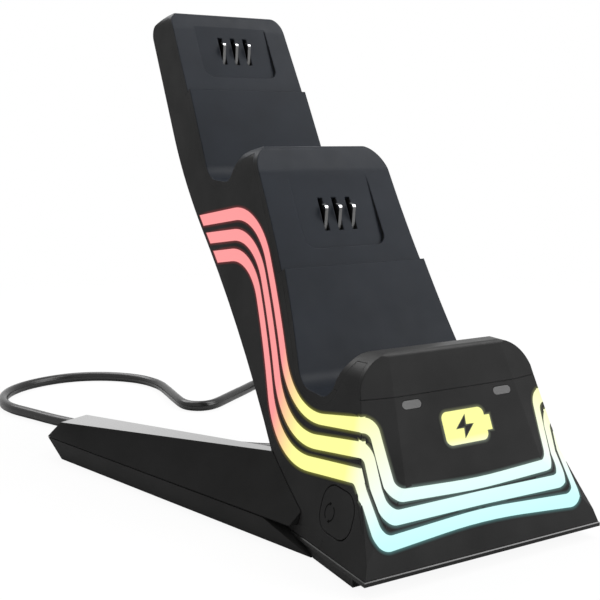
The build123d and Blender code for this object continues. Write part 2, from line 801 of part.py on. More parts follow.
def lead_tube():
    """Lead along its route."""
    path = FilletPolyline(*lead_route, radius=lead_bends)
    start = Plane(origin=path @ 0, z_dir=path % 0)
    print("lead shown", round(path.length, 1), "mm; volume by section", round(path.length * pi * lead_radius ** 2))
    return sweep(start * Circle(lead_radius), path=path)


def strain_relief():
    """Tapered grommet pushed into the rear cover."""
    back = Plane(origin=(0, relief_start_y, port_z), x_dir=(1, 0, 0), z_dir=(0, 1, 0))
    plug = Pos(0, 0, relief_plug / 2) * Cylinder(relief_root, relief_plug)
    cone_length = relief_length - relief_plug
    cone = Pos(0, 0, relief_plug + cone_length / 2) * Cone(relief_root, relief_tip, cone_length)
    return back * (plug + cone - Cylinder(lead_radius + 0.02, 4 * relief_length))


coil_outer = coil_mid_radius + coil_columns * lead_radius
coil_path_radius = coil_outer - lead_radius


def cable_coil():
    """Room taken by the rest of the lead, coiled and tied."""
    width, height = coil_columns * lead_diameter, coil_layers * lead_diameter
    section = Pos(coil_mid_radius, height / 2 + tie_thick) * RectangleRounded(width, height, lead_radius * 0.9)
    return Pos(coil_x, coil_y, 0) * revolve(Plane.XZ * section, axis=Axis.Z)


tie_angle = 100.0


def coil_tie():
    """Band round the coil."""
    width, height = coil_columns * lead_diameter, coil_layers * lead_diameter
    outer = RectangleRounded(width + 2 * tie_thick + tie_slack, height + 2 * tie_thick, lead_radius)
    hole = RectangleRounded(width + tie_slack, height, lead_radius * 0.8)
    place = Pos(coil_x, coil_y, 0) * Rot(0, 0, tie_angle) * Pos(coil_mid_radius, 0, 0)
    band = Plane.XZ * Pos(0, height / 2 + tie_thick) * (outer - hole)
    return place * extrude(band, amount=tie_width / 2, both=True)


tail_a = radians(tail_angle)
tail_start_z = tie_thick + lead_diameter + lead_radius
tail_start = Vector(coil_x + coil_path_radius * cos(tail_a), coil_y + coil_path_radius * sin(tail_a), tail_start_z)
tail_way = Vector(-sin(tail_a), cos(tail_a), 0)
plug_z = plug_height / 2
tail_end = tail_start + tail_way * tail_length + Vector(0, 0, plug_z - tail_start_z)


def plug_plane(reach):
    """Plane across the plug at a distance from its cable end."""
    return Plane(origin=tail_end + tail_way * reach, x_dir=(tail_way.Y, -tail_way.X, 0), z_dir=tail_way)


def cable_tail():
    """Short end of the lead between coil and plug."""
    way = tail_end - tail_start
    return extrude(Plane(origin=tail_start, z_dir=way) * Circle(lead_radius), amount=way.length)


def plug_body():
    """Moulded grip of the plug."""
    grip = extrude(plug_plane(0) * RectangleRounded(plug_width, plug_height, 2.2), amount=plug_length)
    return chamfer(grip.faces().sort_by(Axis(tuple(tail_end), tuple(tail_way)))[0].edges(), 1.4)


def plug_shell():
    """Metal shell of a supply plug, open at its end, with its insulator."""
    outer = Rectangle(usb_width, usb_height)
    inner = Rectangle(usb_width - 2 * usb_wall, usb_height - 2 * usb_wall)
    tube = extrude(plug_plane(plug_length) * (outer - inner), amount=usb_length)
    tongue = Pos(0, -0.9) * Rectangle(usb_width - 2 * usb_wall, 1.9)
    return tube + extrude(plug_plane(plug_length) * tongue, amount=usb_length - 1)


# Main shell

spigot_gap = 0.2
base_opening = slab(
    spigot_half + spigot_gap, spigot_front_y - spigot_gap, spigot_back_y + spigot_gap, 0, shell_z + 1.5 * cover_wall)
leg_room = along_x(offset(profile, fit_gap)) & along_y(front_outline(-fit_gap))
lead_port = Pos(0, relief_start_y, port_z) * Rot(90, 0, 0) * Cylinder(relief_root + fit_gap, 20)


def main_shell():
    """Side walls and front wall of the dock, with webs, grooves and openings."""
    shell = body - cavity
    shell = shell - along_x(cover_zone)
    shell = shell - rear_piece(rear_rim)
    for z in rear_screw_zs:
        shell = shell + web(z)
    shell = shell - base_opening
    for plane in base_screw_planes:
        height = boss_top_z - shell_z
        boss = Pos(plane.origin.X, base_screw_y, boss_top_z - height / 2) * Cylinder(boss_radius, height)
        shell = shell + boss - screw_hole(plane)
    for plane in rear_screw_planes:
        shell = shell - screw_hole(plane)
    for row in range(len(side_uppers)):
        shell = shell - stripe(row, fit_gap, band_depth)
    for side in (-1, 1):
        shell = shell - pill(side, fit_gap)
    return shell - sign(fit_gap) - button_prism(moving_gap)


def rear_cover():
    """Cover at the back, screwed to the webs."""
    back = rear_piece(rear_rim + fit_gap) - along_x(Pos(0, rear_seam_z) * Rectangle(4 * FAR, 2 * seam_gap))
    for plane in rear_screw_planes:
        back = back - screw_hole(plane)
    return back - lead_port


def left_right(name, solid):
    """A left-hand piece and its mirror image."""
    return {"left_" + name: solid, "right_" + name: mirror(solid, about=Plane.YZ)}


def together(solids):
    """Several identical fasteners as one piece."""
    return Compound(children=list(solids))


pieces = {
    "main_shell": main_shell(),
    "lip_cap": cover(lip_band),
    "seat_cover_lower": cover(seat_low_band),
    "seat_cover_upper": cover(seat_high_band),
    "contact_panel_lower": contact_panel(panel_low_band, lower_step),
    "contact_panel_upper": contact_panel(panel_high_band, upper_step),
    "rear_cover": rear_cover(),
    "base_plate": base_plate(),
    "main_board": main_board(),
    "button_switch": button_switch(),
    "mode_button": mode_button(),
    "emblem_window": sign(0),
    "indicator_left": pill(-1, 0),
    "indicator_right": pill(1, 0),
    "strain_relief": strain_relief(),
    "cable": lead_tube(),
    "cable_coil": cable_coil(),
    "coil_tie": coil_tie(),
    "cable_tail": cable_tail(),
    "plug_body": plug_body(),
    "plug_shell": plug_shell(),
}
for row, name in enumerate(("upper", "middle", "lower")):
    pieces["light_band_" + name] = stripe(row, 0, band_depth)
for name, step in (("lower", lower_step), ("upper", upper_step)):
    pieces["contact_block_" + name] = contact_block(step)
    pieces["contact_board_" + name] = contact_board(step)
    for i, x in enumerate(contact_xs):
        pieces["contact_" + name + "_" + str(i + 1)] = contact_leaf(step, x)
foot = Pos(0, foot_y, plate_z / 2) * Box(foot_width, foot_depth, plate_z)
pieces["front_feet"] = together([Pos(side * foot_x, 0, 0) * foot for side in (-1, 1)])
pieces |= left_right("leg_shell", leg_shell())
pieces |= left_right("leg_sole", leg_sole())
pieces |= left_right("leg_pad", leg_pad())
pieces["rear_screws"] = together([screw(plane) for plane in rear_screw_planes])
pieces["base_screws"] = together([screw(plane) for plane in base_screw_planes])
pieces["leg_screws"] = together([screw(leg_screw_plane(y, side)) for y in leg_screw_ys for side in (-1, 1)])

# Centre the dock on its own depth and write the pieces
front_edge = pieces["base_plate"].bounding_box().min.Y
back_edge = pieces["contact_panel_upper"].bounding_box().max.Y
shift = -(front_edge + back_edge) / 2
print("depth", round(back_edge - front_edge, 2), "shift", round(shift, 3))
os.makedirs("parts", exist_ok=True)
for name, solid in pieces.items():
    print(name, len(solid.solids()), round(solid.volume), solid.is_valid)
    export_step(Pos(0, shift, 0) * solid, "parts/" + name + ".step")
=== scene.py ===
import json
from math import cos, pi, radians, sin

import bmesh
import bpy
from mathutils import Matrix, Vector
from mathutils.bvhtree import BVHTree


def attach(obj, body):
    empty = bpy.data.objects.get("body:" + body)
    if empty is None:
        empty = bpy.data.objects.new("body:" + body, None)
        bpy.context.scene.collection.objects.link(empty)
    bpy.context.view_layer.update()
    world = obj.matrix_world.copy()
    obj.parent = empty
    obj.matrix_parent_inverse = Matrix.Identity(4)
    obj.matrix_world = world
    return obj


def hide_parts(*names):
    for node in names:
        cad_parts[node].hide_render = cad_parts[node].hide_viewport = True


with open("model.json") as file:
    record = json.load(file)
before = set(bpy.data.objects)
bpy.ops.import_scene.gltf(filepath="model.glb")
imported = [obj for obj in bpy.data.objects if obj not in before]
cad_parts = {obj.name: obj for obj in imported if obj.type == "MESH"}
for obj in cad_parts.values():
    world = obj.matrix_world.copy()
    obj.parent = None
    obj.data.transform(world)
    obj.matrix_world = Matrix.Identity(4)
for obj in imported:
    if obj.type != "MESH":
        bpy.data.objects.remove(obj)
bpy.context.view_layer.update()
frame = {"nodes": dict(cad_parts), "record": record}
nodes = frame["nodes"]
scene = bpy.context.scene
MM = 0.001

# The part counts depth from the dock's front edge; the row frame is centred on the dock.
FRONT_EDGE_Y = -91.765


def at(x, y, z):
    """Point in the row frame, in metres, from millimetres with depth counted from the front edge."""
    return Vector((x * MM, (y + FRONT_EDGE_Y) * MM, z * MM))


# Camera at the photograph's angle

CAMERA_PLACE = (-170.1, -198.4, 118.0)
CAMERA_TURN = -29.14
CAMERA_PITCH = -9.48
FOCAL_PIXELS, IMAGE_PIXELS, SENSOR = 965.0, 600.0, 36.0
CLIP_START = 0.01

camera_data = bpy.data.cameras.new("camera")
camera_data.sensor_width = SENSOR
camera_data.lens = SENSOR * FOCAL_PIXELS / IMAGE_PIXELS
camera_data.clip_start = CLIP_START
camera = bpy.data.objects.new("camera", camera_data)
camera.location = at(*CAMERA_PLACE)
camera.rotation_euler = (radians(90 + CAMERA_PITCH), 0, radians(CAMERA_TURN))
scene.collection.objects.link(camera)
scene.camera = camera


# Materials

NOISE_LOW, NOISE_HIGH = 0.3, 0.7  # range that most of a noise texture lies in
GRAIN_SCALE, GRAIN_DETAIL, GRAIN_DEPTH = 2500, 2.0, 0.02
ROUGH_FINENESS = 3  # roughness drifts this much finer than tone


def new_material(name):
    """Empty material with a Principled shader; returns the material, its tree and the shader."""
    material = bpy.data.materials.new(name)
    material.use_nodes = True
    tree = material.node_tree
    return material, tree, tree.nodes["Principled BSDF"]


def noise(tree, scale, detail=3.0):
    """Noise over the object's own coordinates."""
    coords = tree.nodes.new("ShaderNodeTexCoord")
    texture = tree.nodes.new("ShaderNodeTexNoise")
    texture.inputs["Scale"].default_value = scale
    texture.inputs["Detail"].default_value = detail
    tree.links.new(coords.outputs["Object"], texture.inputs["Vector"])
    return texture.outputs["Fac"]


def ramp(tree, value, stops):
    """Colour ramp with (position, colour) stops."""
    node = tree.nodes.new("ShaderNodeValToRGB")
    elements = node.color_ramp.elements
    while len(elements) < len(stops):
        elements.new(0.5)
    for element, (position, colour) in zip(elements, stops):
        element.position = position
        element.color = (*colour, 1)
    tree.links.new(value, node.inputs["Fac"])
    return node.outputs["Color"]


def map_range(tree, value, low, high, start=NOISE_LOW, end=NOISE_HIGH):
    """Value moved from one range to another."""
    node = tree.nodes.new("ShaderNodeMapRange")
    node.inputs["From Min"].default_value = start
    node.inputs["From Max"].default_value = end
    node.inputs["To Min"].default_value = low
    node.inputs["To Max"].default_value = high
    tree.links.new(value, node.inputs["Value"])
    return node.outputs["Result"]


def soft_edges(tree, radius):
    """Normal that rounds sharp edges, so that they catch the light."""
    bevel = tree.nodes.new("ShaderNodeBevel")
    bevel.samples = 4
    bevel.inputs["Radius"].default_value = radius * MM
    return bevel.outputs["Normal"]


def grain(tree, shader, strength, edge):
    """Fine moulded texture as bump, over edges that are slightly rounded."""
    bump = tree.nodes.new("ShaderNodeBump")
    bump.inputs["Strength"].default_value = strength
    bump.inputs["Distance"].default_value = GRAIN_DEPTH * MM
    tree.links.new(noise(tree, GRAIN_SCALE, GRAIN_DETAIL), bump.inputs["Height"])
    if edge:
        tree.links.new(soft_edges(tree, edge), bump.inputs["Normal"])
    tree.links.new(bump.outputs["Normal"], shader.inputs["Normal"])


def linear(level):
    """Linear value of a display level from 0 to 255."""
    part = level / 255
    return part / 12.92 if part <= 0.04045 else ((part + 0.055) / 1.055) ** 2.4


def shown(*levels):
    """Linear colour of three display levels."""
    return tuple(linear(level) for level in levels)


def scaled(colour, factor):
    """Colour made lighter or darker."""
    return tuple(min(1.0, c * factor) for c in colour)


def grey(level):
    """Neutral colour."""
    return (level, level, level)


def facing(tree, axis, start, end):
    """0 where the surface's normal has little of an axis, 1 where it has much of it."""
    coords = tree.nodes.new("ShaderNodeTexCoord")
    split = tree.nodes.new("ShaderNodeSeparateXYZ")
    tree.links.new(coords.outputs["Normal"], split.inputs["Vector"])
    share = split.outputs[axis]
    if axis == "X":
        size = tree.nodes.new("ShaderNodeMath")
        size.operation = "ABSOLUTE"
        tree.links.new(share, size.inputs[0])
        share = size.outputs["Value"]
    return map_range(tree, share, 0.0, 1.0, start, end)


def finish(
    tree, shader, colour, spread=0.12, rough=(0.35, 0.45), scale=60, specular=0.4, metallic=0.0,
    bump=0.1, edge=0.0, coat=0.0,
):
    """Slight drift of tone and roughness, and a fine grain."""
    dark, light = scaled(colour, 1 - spread), scaled(colour, 1 + spread)
    tone = ramp(tree, noise(tree, scale), [(NOISE_LOW, dark), (NOISE_HIGH, light)])
    tree.links.new(tone, shader.inputs["Base Color"])
    drift = map_range(tree, noise(tree, scale * ROUGH_FINENESS), *rough)
    tree.links.new(drift, shader.inputs["Roughness"])
    shader.inputs["Specular IOR Level"].default_value = specular
    shader.inputs["Metallic"].default_value = metallic
    shader.inputs["Coat Weight"].default_value = coat
    grain(tree, shader, bump, edge)


def surface(name, **look):
    """Material with one finish all over."""
    material, tree, shader = new_material(name)
    finish(tree, shader, **look)
    return material


def two_faced(name, axis, start, end, look, turned_look):
    """Material with one finish, and another on the faces that are turned to an axis."""
    material, tree, shader = new_material(name)
    turned = tree.nodes.new("ShaderNodeBsdfPrincipled")
    finish(tree, shader, **look)
    finish(tree, turned, **turned_look)
    mix = tree.nodes.new("ShaderNodeMixShader")
    tree.links.new(facing(tree, axis, start, end), mix.inputs["Fac"])
    tree.links.new(shader.outputs["BSDF"], mix.inputs[1])
    tree.links.new(turned.outputs["BSDF"], mix.inputs[2])
    tree.links.new(mix.outputs["Shader"], tree.nodes["Material Output"].inputs["Surface"])
    return material


# The lights change along the depth of the dock, in millimetres: cyan at the front, coral at the back
PALE_CYAN = shown(200, 255, 255)
NEAR_WHITE = shown(245, 255, 245)
LEMON = shown(255, 255, 155)
CORAL = shown(250, 150, 150)
GLOW_STOPS = [(0, PALE_CYAN), (7, NEAR_WHITE), (18, LEMON), (46, LEMON), (63, CORAL)]
SPILL_SHARE = 0.15


def spilled(colour):
    """Light that leaves a tinted diffuser sideways: deeper in colour and much dimmer."""
    return tuple(SPILL_SHARE * c * c for c in colour)


HALO_STOPS = [(y, spilled(colour)) for y, colour in GLOW_STOPS]


def along_depth(tree, stops):
    """Colour that follows the depth of the dock."""
    coords = tree.nodes.new("ShaderNodeTexCoord")
    split = tree.nodes.new("ShaderNodeSeparateXYZ")
    tree.links.new(coords.outputs["Object"], split.inputs["Vector"])
    first, last = stops[0][0], stops[-1][0]
    start, end = (first + FRONT_EDGE_Y) * MM, (last + FRONT_EDGE_Y) * MM
    way = map_range(tree, split.outputs["Y"], 0.0, 1.0, start, end)
    return ramp(tree, way, [((y - first) / (last - first), colour) for y, colour in stops])


DIFFUSER_TONE, DIFFUSER_SPECULAR, DIFFUSER_ROUGH = 0.02, 0.1, 0.4


def diffuser(name):
    """Dark plastic that glows at full strength; its light still needs a colour."""
    material, tree, shader = new_material(name)
    shader.inputs["Base Color"].default_value = (*grey(DIFFUSER_TONE), 1)
    shader.inputs["Specular IOR Level"].default_value = DIFFUSER_SPECULAR
    shader.inputs["Emission Strength"].default_value = 1.0
    shader.inputs["Roughness"].default_value = DIFFUSER_ROUGH
    return material, tree, shader


def glow(name):
    """Lit diffuser whose colour follows its way along the dock."""
    material, tree, shader = diffuser(name)
    tree.links.new(along_depth(tree, GLOW_STOPS), shader.inputs["Emission Color"])
    return material


HALO_MAP = "across"
HALO_FADE_POWER = 1.3


def halo(name):
    """Shell finish with spilled light that fades across a strip."""
    material, tree, shader = new_material(name)
    finish(tree, shader, **SHELL)
    across = tree.nodes.new("ShaderNodeUVMap")
    across.uv_map = HALO_MAP
    split = tree.nodes.new("ShaderNodeSeparateXYZ")
    fade = tree.nodes.new("ShaderNodeMath")
    fade.operation = "POWER"
    fade.inputs[1].default_value = HALO_FADE_POWER
    tree.links.new(across.outputs["UV"], split.inputs["Vector"])
    tree.links.new(map_range(tree, split.outputs["X"], 1.0, 0.0, 0.0, 1.0), fade.inputs[0])
    tree.links.new(along_depth(tree, HALO_STOPS), shader.inputs["Emission Color"])
    tree.links.new(fade.outputs["Value"], shader.inputs["Emission Strength"])
    return material


SIGN_LOW_Z, SIGN_HIGH_Z = 31.0, 44.0
SIGN_PALE_SHARE = 0.3


def lit_sign(name):
    """Lemon diffuser that pales towards its foot."""
    material, tree, shader = diffuser(name)
    coords = tree.nodes.new("ShaderNodeTexCoord")
    split = tree.nodes.new("ShaderNodeSeparateXYZ")
    tree.links.new(coords.outputs["Object"], split.inputs["Vector"])
    rise = map_range(tree, split.outputs["Z"], 0.0, 1.0, SIGN_LOW_Z * MM, SIGN_HIGH_Z * MM)
    tone = ramp(tree, rise, [(0.0, NEAR_WHITE), (SIGN_PALE_SHARE, LEMON), (1.0, LEMON)])
    tree.links.new(tone, shader.inputs["Emission Color"])
    return material


SHELL = dict(colour=grey(0.025), rough=(0.40, 0.48), specular=0.01, edge=0.4)
# Painted light: shell faces turned up get this slightly lighter, much glossier copy of SHELL, so that
# they look lit while the sides stay dark
SHELL_LIT_TOP = dict(colour=grey(0.027), rough=(0.34, 0.42), specular=0.09, edge=0.4)
PANEL = dict(colour=(0.0118, 0.0145, 0.0195), rough=(0.34, 0.42), specular=0.07, edge=0.7)
# Painted shade: the leg's upper sides are a darker tone than its lower strip (LEG_LOWER), for the shade
# under the leaning column
LEG_SHADED_SIDE = dict(colour=grey(0.016), rough=(0.36, 0.44), specular=0.03, edge=0.4)
LEG_TOP = dict(colour=grey(0.004), rough=(0.10, 0.16), specular=0.8, coat=0.9, bump=0.01)
BASE_SIDE = dict(colour=grey(0.010), rough=(0.3, 0.4), specular=0.10, edge=0.2)
# Painted highlight: faces of the base turned up get this lighter, much glossier copy, so that its rim
# shows a bright line
BASE_LIT_TOP = dict(colour=grey(0.012), rough=(0.14, 0.20), specular=0.6)
CONTACT = dict(spread=0.05, metallic=1.0, bump=0.02)
# Painted light and shade: contact faces turned up are near white and the rest dark grey; partly a plated
# tip, partly light from above and shade on the body
CONTACT_SHADED_SIDE = dict(CONTACT, colour=grey(0.10), rough=(0.3, 0.4))
CONTACT_PLATING_AND_LIT_TOP = dict(CONTACT, colour=grey(0.85), rough=(0.10, 0.20))
LEG_LOWER = dict(colour=grey(0.024), rough=(0.36, 0.44), specular=0.03, edge=0.3)
RUBBER = dict(colour=grey(0.012), rough=(0.7, 0.85), specular=0.1, bump=0.25)
INDICATOR = dict(colour=grey(0.11), rough=(0.4, 0.5), specular=0.1, bump=0.05)
CARRIER = dict(colour=grey(0.004), rough=(0.5, 0.6), specular=0.05)
BOARD = dict(colour=(0.012, 0.06, 0.03), spread=0.3, rough=(0.35, 0.5), scale=300)
SWITCH = dict(colour=(0.05, 0.05, 0.055))
LEAD = dict(colour=grey(0.012), rough=(0.20, 0.28), specular=0.3, bump=0.05)
TIE = dict(colour=grey(0.010), spread=0.3, rough=(0.8, 0.95), scale=800, bump=0.5)
SCREW = dict(colour=grey(0.20), spread=0.1, rough=(0.3, 0.4), metallic=1.0)
PLUG = dict(colour=grey(0.62), spread=0.06, rough=(0.2, 0.3), metallic=1.0)
ICON = dict(colour=grey(0.002), rough=(0.6, 0.7), specular=0.02, bump=0.05)
FINISHES = {
    # Painted light and shade: shell faces turned up take the lit copy, the rest the darker, matte SHELL
    "shell_black": two_faced("shell_black", "Z", 0.5, 0.75, SHELL, SHELL_LIT_TOP),
    # Painted shade: panel faces turned sideways take the darker, matte SHELL finish instead of their own
    # bluish, glossier one
    "panel_dark": two_faced("panel_dark", "X", 0.80, 0.95, PANEL, SHELL),
    "leg_black": surface("leg_black", **LEG_LOWER),
    "leg_gloss": two_faced("leg_gloss", "Z", 0.80, 0.90, LEG_SHADED_SIDE, LEG_TOP),
    "base_black": two_faced("base_black", "Z", 0.3, 0.7, BASE_SIDE, BASE_LIT_TOP),
    "rubber_black": surface("rubber_black", **RUBBER),
    "button_black": surface("button_black", **SHELL),
    "indicator_grey": surface("indicator_grey", **INDICATOR),
    "contact_metal": two_faced("contact_metal", "Z", 0.1, 0.6, CONTACT_SHADED_SIDE, CONTACT_PLATING_AND_LIT_TOP),
    "carrier_black": surface("carrier_black", **CARRIER),
    "board_green": surface("board_green", **BOARD),
    "switch_grey": surface("switch_grey", **SWITCH),
    "lead_black": surface("lead_black", **LEAD),
    "tie_black": surface("tie_black", **TIE),
    "screw_steel": surface("screw_steel", **SCREW),
    "plug_metal": surface("plug_metal", **PLUG),
    "light_upper": glow("light_upper"),
    "light_middle": glow("light_middle"),
    "light_lower": glow("light_lower"),
    "sign_lime": lit_sign("sign_lime"),
    "halo": halo("halo"),
    "icon_ink": surface("icon_ink", **ICON),
}
SLOT_OF = {s["node"]: s["material_slot"] for s in frame["record"]["subparts"]}


def dress(piece, slot_name):
    """Give a piece the finish of a slot."""
    if not piece.material_slots:
        piece.data.materials.append(None)
    for place in piece.material_slots:
        place.link = "OBJECT"
        place.material = FINISHES[slot_name]


def add_piece(name, shape, look, body):
    """New piece from a bmesh, dressed and riding on a body."""
    mesh = bpy.data.meshes.new(name)
    shape.to_mesh(mesh)
    piece = bpy.data.objects.new(name, mesh)
    scene.collection.objects.link(piece)
    dress(piece, look)
    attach(piece, body)


for name, node in nodes.items():
    dress(node, SLOT_OF[name])


# Supply lead: the part's route, then the coil's turns, then the end at the plug

LEAD_DIAMETER = 4.5
FLOOR_Z = LEAD_DIAMETER / 2 + 0.05
PORT_Z = 15.5
LEAD_ROUTE = [
    (0, 52, PORT_Z), (0, 72, PORT_Z), (-1.5, 88, 11.5), (-7, 104, 4.4), (-16, 118, FLOOR_Z),
    (-29, 133, FLOOR_Z), (-45, 152, FLOOR_Z), (-58, 170, FLOOR_Z), (-69, 189, FLOOR_Z),
    (-76, 205, FLOOR_Z), (-82.5, 219, FLOOR_Z), (-83, 232, FLOOR_Z), (-78, 245, FLOOR_Z),
    (-68, 254.5, FLOOR_Z), (-54, 259.5, FLOOR_Z), (-40, 259.5, FLOOR_Z), (-26, 253, FLOOR_Z),
    (-15, 241, FLOOR_Z), (-10.5, 226.5, FLOOR_Z), (-11.5, 212, FLOOR_Z), (-13, 199, FLOOR_Z),
    (-14, 186.5, FLOOR_Z), (-9.5, 181, FLOOR_Z), (-2.5, 180.5, FLOOR_Z), (9, 189, FLOOR_Z),
    (20.5, 197, FLOOR_Z), (31, 205, FLOOR_Z), (46, 206, FLOOR_Z), (60, 198, FLOOR_Z),
]
COIL_X, COIL_Y, COIL_MID = 78.0, 222.0, 25.0
COIL_INNER, COIL_OUTER = COIL_MID - LEAD_DIAMETER, COIL_MID + LEAD_DIAMETER
COIL_UNDER = 0.6  # room below the coil for its tie
COIL_LOW, COIL_HIGH = COIL_UNDER + LEAD_DIAMETER / 2, COIL_UNDER + 1.5 * LEAD_DIAMETER
COIL_TUCK = 0.8  # how far the rising turn pulls in
COIL_STEP = 20.0
COIL_START, COIL_IN_END, COIL_RISE_END, COIL_END = -90.0, 630.0, 760.0, 1410.0
TAIL_LENGTH = 34.0
PLUG_Z = 4.0
TAIL_STOPS = [(0.3, COIL_HIGH), (0.65, 5.2), (0.85, PLUG_Z), (1.03, PLUG_Z)]  # share of the tail, height
MIDDLE_WEIGHT, SIDE_WEIGHTS = 0.75, 0.25  # of a quadratic spline's control points, halfway along a span


def coil_point(angle):
    """Centre of the lead at an angle of the coil: inwards below, up, and outwards above."""
    if angle <= COIL_IN_END:
        way = (angle - COIL_START) / (COIL_IN_END - COIL_START)
        radius, z = COIL_OUTER + way * (COIL_INNER - COIL_OUTER), COIL_LOW
    elif angle <= COIL_RISE_END:
        way = (angle - COIL_IN_END) / (COIL_RISE_END - COIL_IN_END)
        radius = COIL_INNER - COIL_TUCK * sin(pi * way)
        z = COIL_LOW + (COIL_HIGH - COIL_LOW) * way
    else:
        way = (angle - COIL_RISE_END) / (COIL_END - COIL_RISE_END)
        radius, z = COIL_INNER + way * (COIL_OUTER - COIL_INNER), COIL_HIGH
    radius = radius / (MIDDLE_WEIGHT + SIDE_WEIGHTS * cos(radians(COIL_STEP)))
    return (COIL_X + radius * cos(radians(angle)), COIL_Y + radius * sin(radians(angle)), z)


def lead_points():
    """Control points of the whole lead."""
    points = list(LEAD_ROUTE)
    angle = COIL_START
    while angle <= COIL_END:
        points.append(coil_point(angle))
        angle += COIL_STEP
    end = radians(COIL_END)
    x, y = COIL_X + COIL_OUTER * cos(end), COIL_Y + COIL_OUTER * sin(end)
    for reach, z in TAIL_STOPS:
        points.append((x - sin(end) * TAIL_LENGTH * reach, y + cos(end) * TAIL_LENGTH * reach, z))
    return points


def make_lead():
    """The lead as one smooth spline."""
    curve = bpy.data.curves.new("supply_lead", "CURVE")
    curve.dimensions = "3D"
    curve.bevel_depth = LEAD_DIAMETER / 2 * MM
    curve.bevel_resolution = 5
    curve.resolution_u = 6
    curve.use_fill_caps = True
    spline = curve.splines.new("NURBS")
    points = [at(*p) for p in lead_points()]
    spline.points.add(len(points) - 1)
    for point, place in zip(spline.points, points):
        point.co = (*place, 1)
    spline.order_u = 3
    spline.use_endpoint_u = True
    lead = bpy.data.objects.new("supply_lead", curve)
    scene.collection.objects.link(lead)
    dress(lead, "lead_black")
    return lead


lead = make_lead()
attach(lead, "base")
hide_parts("cable", "cable_coil", "cable_tail")


# Light that spills from each lit piece on to the shell around it

HALO_WIDTH = 0.95
HALO_LIFTS = {
    "light_band_upper": 0.03, "light_band_middle": 0.045, "light_band_lower": 0.06, "emblem_window": 0.03,
}
RECESS_REACH, PROBE_LIFT = 0.5, 0.01
RIM_NUDGE = 0.15  # step off the rim, to find the shell and not the groove
WELD_REACH = 0.001


def welded(node):
    """The node's mesh with its split corners joined."""
    copy = bmesh.new()
    copy.from_mesh(nodes[node].data)
    bmesh.ops.remove_doubles(copy, verts=copy.verts, dist=WELD_REACH * MM)
    copy.normal_update()
    return copy


def open_rim(lit, shell_tree):
    """Edges round the faces that look out of the recess, each with its outer face."""
    clear = {
        face for face in lit.faces
        if shell_tree.ray_cast(
            face.calc_center_median() + face.normal * PROBE_LIFT * MM, face.normal, RECESS_REACH * MM
        )[0] is None
    }
    for edge in lit.edges:
        outer = [face for face in edge.link_faces if face in clear]
        if len(outer) == 1 and len(edge.link_faces) == 2:
            yield edge, outer[0]


def make_halo(name, shell_tree, lift):
    """Narrow strip on the shell round a lit piece."""
    lit = welded(name)
    away, rim = {}, []
    for edge, face in open_rim(lit, shell_tree):
        first, second = edge.verts
        middle = (first.co + second.co) / 2
        side = (second.co - first.co).cross(face.normal).normalized()
        if side.dot(face.calc_center_median() - middle) > 0:
            side.negate()
            first, second = second, first
        rim.append((first, second))
        for vert in (first, second):
            away[vert] = away.get(vert, Vector()) + side
    strip = bmesh.new()
    across = strip.loops.layers.uv.new(HALO_MAP)
    inner, outer = {}, {}
    for vert, side in away.items():
        side.normalize()
        for row, reach in ((inner, 0.0), (outer, HALO_WIDTH * MM)):
            place, normal, *_ = shell_tree.find_nearest(vert.co + side * (reach + RIM_NUDGE * MM))
            back = side * (RIM_NUDGE * MM if reach == 0 else 0)
            row[vert] = strip.verts.new(place - back + normal * lift * MM)
    for first, second in rim:
        face = strip.faces.new((inner[first], inner[second], outer[second], outer[first]))
        for loop, fade in zip(face.loops, (0.0, 0.0, 1.0, 1.0)):
            loop[across].uv = (fade, 0.5)
    add_piece("halo_" + name, strip, "halo", "base")


shell_tree = BVHTree.FromBMesh(welded("main_shell"))
for lit_name, halo_lift in HALO_LIFTS.items():
    make_halo(lit_name, shell_tree, halo_lift)


# Sill along the foot of each side wall, over the opening in front of the leg

PROBE_X = 60.0  # well outside the side walls
SILL_FRONT_Y, SILL_REAR_Y = 20.5, 36.0
SILL_LOW_Z, SILL_HIGH_Z, SILL_LEVELS = 4.95, 7.7, 6
SILL_THICK, SILL_LIFT = 0.6, 0.01
SILL_PROBE_Y = 18.0


def make_sill(side, name):
    """Thin strip that continues the wall's own slope."""
    strip = bmesh.new()
    rows = []
    for level in range(SILL_LEVELS + 1):
        z = SILL_LOW_Z + (SILL_HIGH_Z - SILL_LOW_Z) * level / SILL_LEVELS
        place, *_ = shell_tree.ray_cast(at(PROBE_X * side, SILL_PROBE_Y, z), Vector((-side, 0, 0)))
        outside = place.x / MM + side * SILL_LIFT
        rows.append([
            strip.verts.new(at(x, y, z))
            for x in (outside, outside - side * SILL_THICK) for y in (SILL_FRONT_Y, SILL_REAR_Y)
        ])
    for low, high in zip(rows, rows[1:]):
        for a, b in ((0, 1), (1, 3), (3, 2), (2, 0)):
            strip.faces.new((low[a], low[b], high[b], high[a]))
    for row in (rows[0], rows[-1]):
        strip.faces.new((row[0], row[1], row[3], row[2]))
    bmesh.ops.recalc_face_normals(strip, faces=strip.faces)
    add_piece(name, strip, "shell_black", "base")


make_sill(-1, "sill_left")
make_sill(1, "sill_right")


# Circular-arrow sign on the mode button

ICON_Y, ICON_Z, ICON_RADIUS, ICON_LINE = 20.7, 15.3, 2.3, 0.38
ICON_LIFT = 0.03
ARROW_LENGTH, ARROW_WIDTH = 1.1, 1.1
ICON_ARCS = [(235, 110), (55, -70)]
ICON_STEPS = 14


